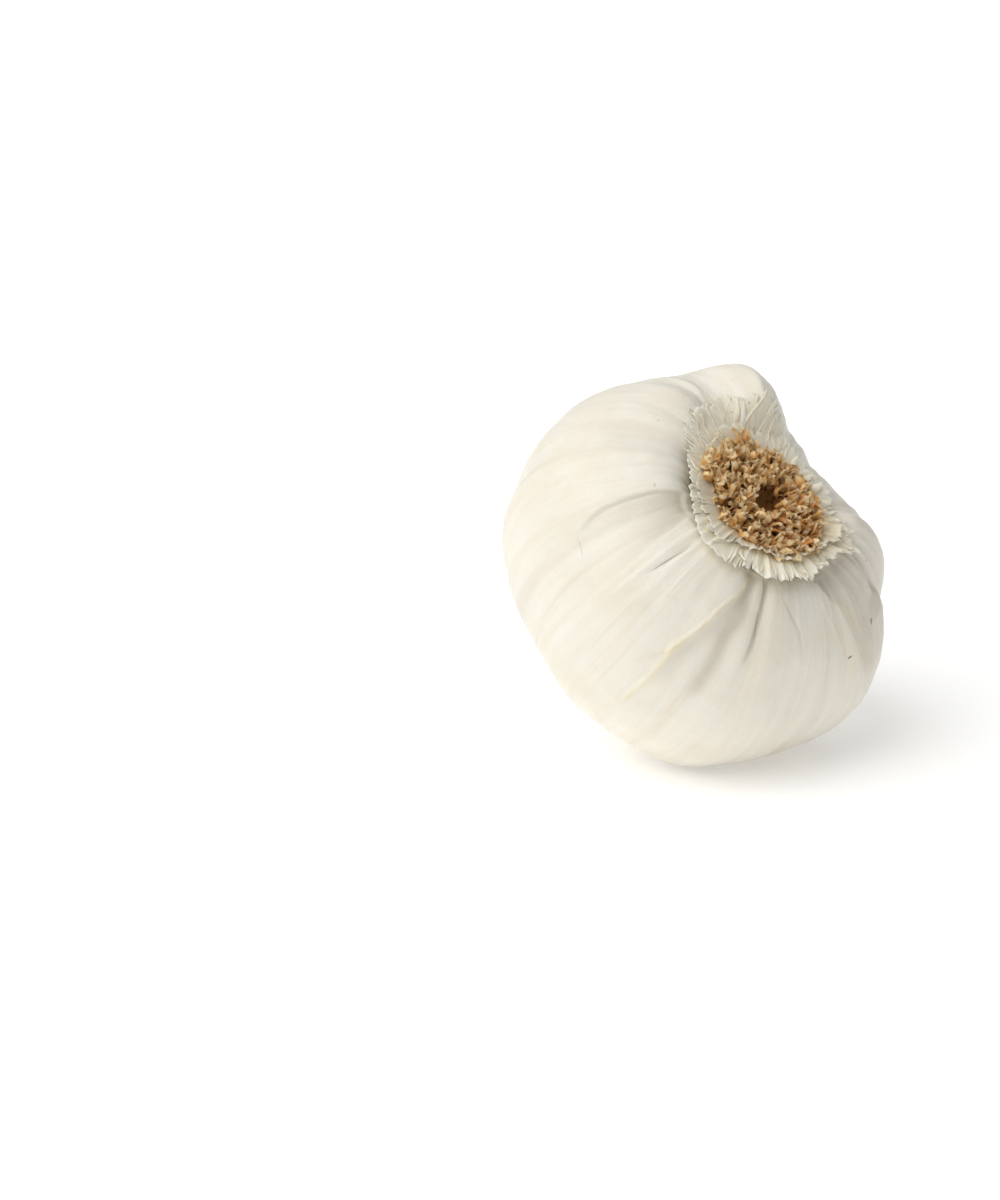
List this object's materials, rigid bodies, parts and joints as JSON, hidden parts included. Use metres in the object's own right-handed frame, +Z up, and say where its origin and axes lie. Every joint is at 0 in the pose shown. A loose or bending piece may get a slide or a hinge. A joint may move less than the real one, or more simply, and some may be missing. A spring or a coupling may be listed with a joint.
{
  "type": "garlic bulb",
  "caption": "Whole garlic bulb lying on its side: cloves wrapped in papery white skin, a cut neck, a mat of dried root stubs and a torn collar of skin round them.",
  "frame": {"origin": "middle of the bulb's footprint box, on the surface it lies on", "axes": "+Z up; the bulb's own axis runs from the neck, low at the back left, to the roots, high at the front right"},
  "size_m": [0.0572, 0.0578, 0.0564],
  "materials": {
    "skin_white": "satin, thin dry skin",
    "collar_cream": "matte, torn dry skin",
    "root_tan": "matte, dried root fibre",
    "stalk_tan": "matte, dried stalk"
  },
  "bodies": {
    "root": {"bulb": "skin_white", "skin_collar": "collar_cream", "roots": "root_tan", "stalk_tip": "stalk_tan"}
  },
  "joints": []
}
